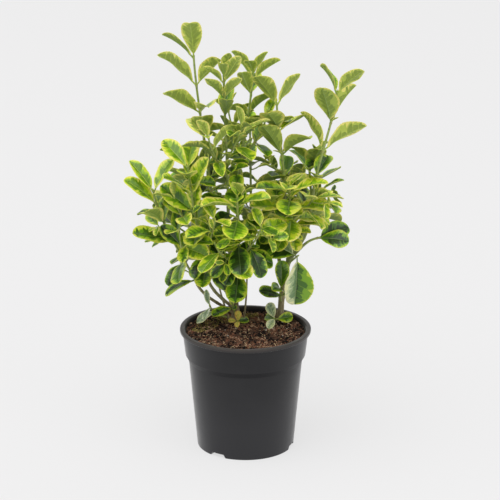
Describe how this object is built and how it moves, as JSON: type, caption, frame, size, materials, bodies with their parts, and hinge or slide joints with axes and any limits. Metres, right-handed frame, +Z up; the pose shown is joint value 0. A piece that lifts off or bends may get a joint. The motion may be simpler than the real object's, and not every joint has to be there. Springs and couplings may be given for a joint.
{
  "type": "potted japanese euonymus",
  "caption": "Potted evergreen shrub: upright branching stems with glossy oval green leaves edged in yellow, rooted in dark soil in a round tapered plastic nursery pot.",
  "frame": {"origin": "centre of the flat underside of the pot, on the surface that it stands on", "axes": "+Z up, -Y to the front, which is the side that the picture shows, +X to the right seen from the front"},
  "size_m": [0.3088, 0.2494, 0.5673],
  "materials": {
    "pot": "charcoal moulded plastic, satin",
    "soil": "dark brown potting soil with bark fibres",
    "bark": "grey-brown bark, green on young stems",
    "foliage": "glossy green leaves with yellow edges"
  },
  "bodies": {
    "root": {"pot": "pot", "soil": "soil", "trunk": "bark", "trunk_right": "bark", "bough_far_left": "bark", "bough_left": "bark", "bough_front": "bark", "bough_back_left": "bark", "bough_back": "bark", "bough_left_top": "bark", "bough_middle_left": "bark", "bough_middle": "bark", "bough_middle_right": "bark", "bough_right_back": "bark", "bough_right_top": "bark", "bough_right_low": "bark", "bough_right": "bark", "foliage_left_top": "foliage", "foliage_middle_left": "foliage", "foliage_middle": "foliage", "foliage_middle_right": "foliage", "foliage_right_top": "foliage", "foliage_far_left": "foliage", "foliage_left": "foliage", "foliage_front": "foliage", "foliage_back_left": "foliage", "foliage_back": "foliage", "foliage_right": "foliage", "foliage_right_low": "foliage", "foliage_right_back": "foliage", "foliage_right_droop": "foliage", "foliage_right_foot": "foliage", "foliage_front_low": "foliage", "foliage_low_left": "foliage", "foliage_foot": "foliage", "foliage_foot_right": "foliage"}
  },
  "joints": []
}
